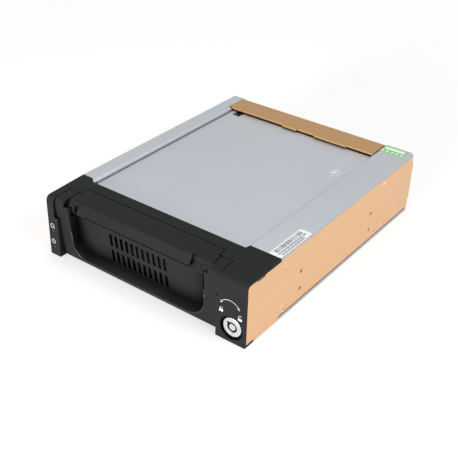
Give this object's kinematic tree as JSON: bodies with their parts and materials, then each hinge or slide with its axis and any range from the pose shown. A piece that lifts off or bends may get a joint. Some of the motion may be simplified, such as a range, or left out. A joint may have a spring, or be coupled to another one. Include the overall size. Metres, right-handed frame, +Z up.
{
  "type": "hot swap drive cage",
  "caption": "Half-height bay cage with a gold sheet-metal frame, black bezel, key lock and rear fan, holding a slide-out tray with a flip-up handle for a drive.",
  "frame": {"origin": "centre of the cage's underside, in the plane that the base rests on", "axes": "+X to the right seen from the front, +Y from the bezel to the rear panel, +Z up"},
  "size_m": [0.146, 0.187, 0.0413],
  "materials": {
    "black_plastic": "fine-textured moulded ABS with slightly glossier edges",
    "gold_sheet": "yellow-gold passivated sheet, satin",
    "silver_sheet": "fine-brushed satin sheet",
    "glide_plastic": "smooth acetal",
    "light_guide": "clear acrylic",
    "lamp_lens": "tinted lens",
    "circuit_board": "solder-masked laminate",
    "lock_chrome": "polished plate",
    "plain_steel": "plain drawn steel",
    "screw_metal": "zinc-plated steel",
    "standoff_brass": "turned brass",
    "connector_plastic": "black connector moulding",
    "power_plastic": "natural nylon",
    "fan_plastic": "black glass-filled moulding"
  },
  "bodies": {
    "cage": {"front_bezel": "black_plastic", "base_plate": "silver_sheet", "left_side_panel": "gold_sheet", "right_side_panel": "gold_sheet", "left_channel": "silver_sheet", "right_channel": "silver_sheet", "rear_panel": "gold_sheet", "left_glide": "glide_plastic", "right_glide": "glide_plastic", "light_pipes": "light_guide", "status_lamps": "lamp_lens", "lamp_board": "circuit_board", "lock_barrel": "lock_chrome", "lock_clip": "plain_steel", "key_switch": "connector_plastic", "backplane_board": "circuit_board", "tray_socket": "connector_plastic", "standoffs": "standoff_brass", "backplane_screws": "screw_metal", "data_socket": "connector_plastic", "power_socket": "power_plastic", "power_pins": "standoff_brass", "fan_frame": "fan_plastic", "fan_screws": "screw_metal", "side_screws": "screw_metal", "side_rivets": "screw_metal", "base_screws": "screw_metal"},
    "key_core": {"lock_core": "plain_steel", "lock_cam": "plain_steel", "cam_collar": "plain_steel"},
    "rotor": {"fan_rotor": "fan_plastic", "fan_shaft": "plain_steel"},
    "tray": {"tray_front": "black_plastic", "tray_pan": "silver_sheet", "left_runner": "glide_plastic", "right_runner": "glide_plastic", "ground_spring": "plain_steel", "tray_board": "circuit_board", "drive_connector": "connector_plastic", "tray_plug": "connector_plastic", "board_screws": "plain_steel", "tray_screws": "plain_steel", "handle_pins": "plain_steel"},
    "cover": {"tray_cover": "silver_sheet"},
    "handle": {"handle": "black_plastic"}
  },
  "joints": [
    {"name": "tray_slide", "type": "slide", "parent": "cage", "child": "tray", "axis": [0, -1, 0], "range_m": [0, 0.185]},
    {"name": "handle_lift", "type": "hinge", "parent": "tray", "child": "handle", "pos_m": [0, -0.0855, 0.0349], "axis": [-1, 0, 0], "range_deg": [0, 85]},
    {"name": "cover_slide", "type": "slide", "parent": "tray", "child": "cover", "axis": [0, 1, 0], "range_m": [0, 0.0065]},
    {"name": "key_turn", "type": "hinge", "parent": "cage", "child": "key_core", "pos_m": [0.0639, -0.0835, 0.0096], "axis": [0, 1, 0], "range_deg": [0, 90]},
    {"name": "fan_spin", "type": "hinge", "parent": "cage", "child": "rotor", "pos_m": [-0.035, 0.0873, 0.0204], "axis": [0, 1, 0], "continuous": true}
  ]
}
